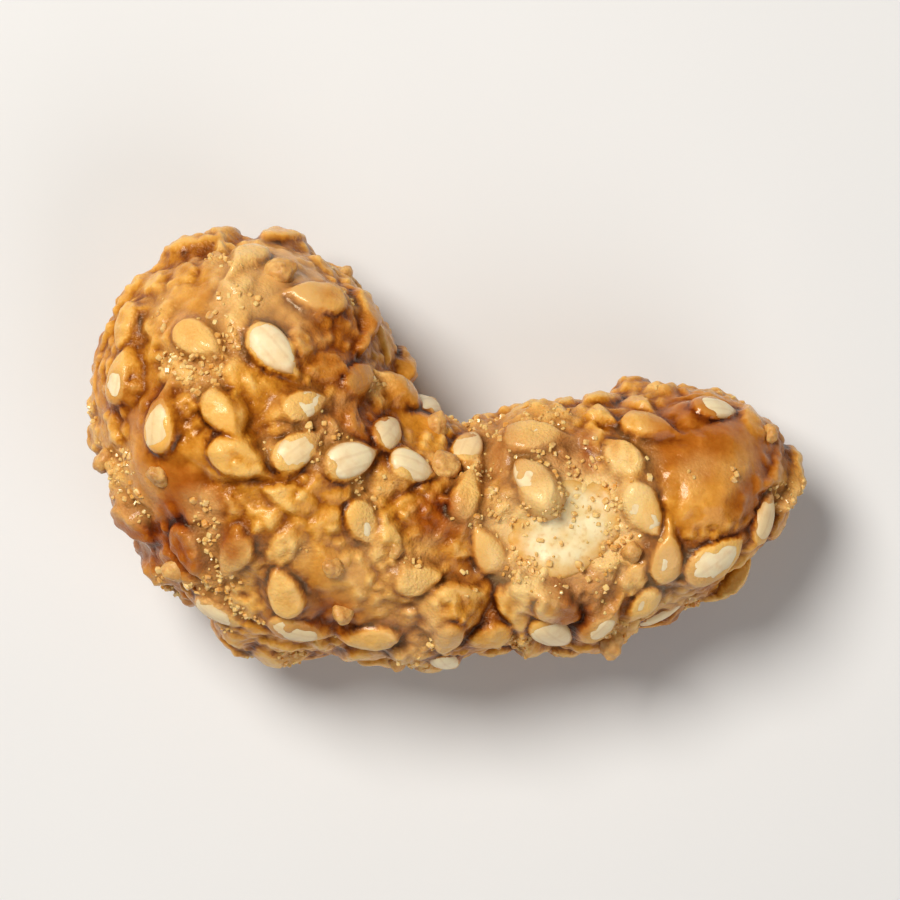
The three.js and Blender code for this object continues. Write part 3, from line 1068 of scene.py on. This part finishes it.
seedLook = {
    "palest": tint(251, 232, 192),
    "darkest": tint(243, 213, 160),
    "vein": tint(196, 150, 92),
    "tip": tint(150, 96, 46),
    "foot": tint(206, 146, 66),  # where caramel has crept up it
    "mottle": tint(226, 178, 104),
    "veins": 9.0,  # how many there are across
    "tipFrom": 0.82,
    "footTo": (0.65, 0.05),  # how high the caramel creeps
    "roughness": (0.42, 0.2),  # from bare to caramel
    "bump": (0.3, 0.03),
    "lightIn": (0.25, (1.0, 0.7, 0.4), 0.4),
}


def seedMaterial():
    material, tree, surface = newMaterial("sesame_seed")
    place = objectPlace(tree)
    along, across, tone, proud = (attribute(tree, name) for name in ("along", "across", "tone", "proud"))
    colour = mixColour(tree, tone, seedLook["palest"], seedLook["darkest"])
    veins = maths(tree, "SINE", maths(tree, "MULTIPLY", across, seedLook["veins"]))
    colour = mixColour(tree, spread(tree, veins, 0.5, 1.0, 0.0, 0.16), colour, seedLook["vein"])
    tip = maths(tree, "MULTIPLY", spread(tree, along, seedLook["tipFrom"], 1.0), 0.6)
    colour = mixColour(tree, tip, colour, seedLook["tip"])
    foot = spread(tree, proud, *seedLook["footTo"])
    foot = maths(tree, "ADD", foot, aroundZero(tree, place, 0.5), clamp=True)
    colour = mixColour(tree, foot, colour, seedLook["foot"])
    mottle = spread(tree, noiseNode(tree, place, 0.9), 0.5, 0.75, 0.0, 0.3)
    colour = mixColour(tree, mottle, colour, seedLook["mottle"])
    roughness = spread(tree, foot, 0.0, 1.0, *seedLook["roughness"])
    dress(tree, surface, seedLook, colour, roughness, noiseNode(tree, place, 0.15))
    return material


nutLook = {
    "pale": tint(244, 228, 184),
    "blotch": tint(234, 206, 146),
    "fleck": tint(206, 150, 70),
    "rim": tint(224, 170, 86),
    "roughness": (0.45, 0.25),
    "bump": (0.3, 0.04),
    "lightIn": (0.35, (1.0, 0.8, 0.5), 0.8),
}


def nutMaterial():
    material, tree, surface = newMaterial("bare_nut")
    place = objectPlace(tree)
    blotch = spread(tree, noiseNode(tree, place, 1.4), 0.4, 0.62)
    colour = mixColour(tree, blotch, nutLook["pale"], nutLook["blotch"])
    fleck = spread(tree, noiseNode(tree, place, 0.35), 0.55, 0.75, 0.0, 0.5)
    colour = mixColour(tree, fleck, colour, nutLook["fleck"])
    rim = maths(tree, "ADD", attribute(tree, "rim"), aroundZero(tree, place, 0.6), clamp=True)
    colour = mixColour(tree, rim, colour, nutLook["rim"])
    roughness = spread(tree, blotch, 0.0, 1.0, *nutLook["roughness"])
    dress(tree, surface, nutLook, colour, roughness, noiseNode(tree, place, 0.2))
    return material


crumbLook = {
    "depths": (0.1, 0.7),
    "toastAndShadow": 0.2,
    "sugary": 0.8,
    "roughness": (0.5, 0.3),
    "bump": (0.7, 0.06),
    "lightIn": (0.35, (1.0, 0.6, 0.25), 0.6),
}


def crumbMaterial(tone, grain):
    material, tree, surface = newMaterial("sugar_crumb")
    depth = spread(tree, noiseNode(tree, objectPlace(tree), 0.5), 0.3, 0.75, *crumbLook["depths"])
    inputs = {"Depth": depth, "ToastAndShadow": crumbLook["toastAndShadow"], "Sugary": crumbLook["sugary"]}
    colour = useGroup(tree, tone, inputs).outputs["Color"]
    roughness = spread(tree, depth, 0.0, 1.0, *crumbLook["roughness"])
    height = useGroup(tree, grain, {"Amount": 1.0}).outputs["Height"]
    dress(tree, surface, crumbLook, colour, roughness, height)
    return material


grainLook = {
    "pale": tint(240, 204, 136),
    "deep": tint(220, 156, 74),
    "roughness": 0.18,
    "lightIn": (0.4, (1.0, 0.7, 0.4), 0.3),
}


def grainMaterial():
    material, tree, surface = newMaterial("sugar_grain")
    shade = spread(tree, noiseNode(tree, objectPlace(tree), 0.5, 1.0), 0.35, 0.7)
    colour = mixColour(tree, shade, grainLook["pale"], grainLook["deep"])
    dress(tree, surface, grainLook, colour, grainLook["roughness"])
    return material


tone = caramelTone()
grain = sugarGrain()
crustPoints, crustOutward, crustTones = caramelCrust(crustMaterial(tone, grain))
sesameSeeds(seedMaterial())
bareKernel(nutMaterial())
sugarCrumbs(crumbMaterial(tone, grain))
sugarGrains(grainMaterial(), crustPoints, crustOutward, crustTones)
print("pieces made")


# Floor, light and camera

stageForm = {  # in metres
    "floorSide": 8.0,
    "floorColours": ((0.74, 0.75, 0.77, 1), (0.78, 0.79, 0.81, 1)),
    "frameWidth": 0.046,  # what the camera sees across, at the nut's middle height
    "lens": 180,
    "sensor": 36,
    "middle": (0.0001, 0.0, 0.0075),
    "lights": (  # name, place, size, power, colour
        ("key", (-0.13, 0.13, 0.3), 0.16, 1.3, (1.0, 0.95, 0.87)),
        ("fill", (0.16, -0.22, 0.22), 0.3, 0.4, (1.0, 0.97, 0.93)),
    ),
    "roomColour": (1.0, 0.98, 0.96, 1),
    "roomLight": 0.1,
}


def layFloor():
    bm = bmesh.new()
    bmesh.ops.create_grid(bm, x_segments=8, y_segments=8, size=stageForm["floorSide"] / 2)
    floor = addObject("floor", meshFrom(bm, "floor"))
    material, tree, surface = newMaterial("floor")
    mottle = noiseNode(tree, objectPlace(tree), 30.0)
    colour = mixColour(tree, mottle, *stageForm["floorColours"])
    tree.links.new(colour, surface.inputs["Base Color"])
    surface.inputs["Roughness"].default_value = 0.7
    floor.data.materials.append(material)


def addLight(name, place, size, power, colour):
    data = bpy.data.lights.new(name, "AREA")
    data.shape = "DISK"
    data.size = size
    data.energy = power
    data.color = colour
    light = addObject(name, data)
    light.location = place
    aim = Vector(stageForm["middle"]) - Vector(place)
    light.rotation_euler = aim.to_track_quat("-Z", "Y").to_euler()


def lightRoom():
    room = bpy.data.worlds.new("room")
    room.use_nodes = True
    background = room.node_tree.nodes["Background"]
    background.inputs["Color"].default_value = stageForm["roomColour"]
    background.inputs["Strength"].default_value = stageForm["roomLight"]
    bpy.context.scene.world = room
    bpy.context.scene.view_settings.view_transform = "Standard"


def placeCamera():
    data = bpy.data.cameras.new("camera")
    data.lens = stageForm["lens"]
    data.sensor_width = stageForm["sensor"]
    data.clip_start = 0.01
    data.clip_end = 20
    camera = addObject("camera", data)
    x, y, z = stageForm["middle"]
    camera.location = (x, y, z + stageForm["frameWidth"] * stageForm["lens"] / stageForm["sensor"])
    bpy.context.scene.camera = camera


layFloor()
for row in stageForm["lights"]:
    addLight(*row)
lightRoom()
placeCamera()
print("stage set")
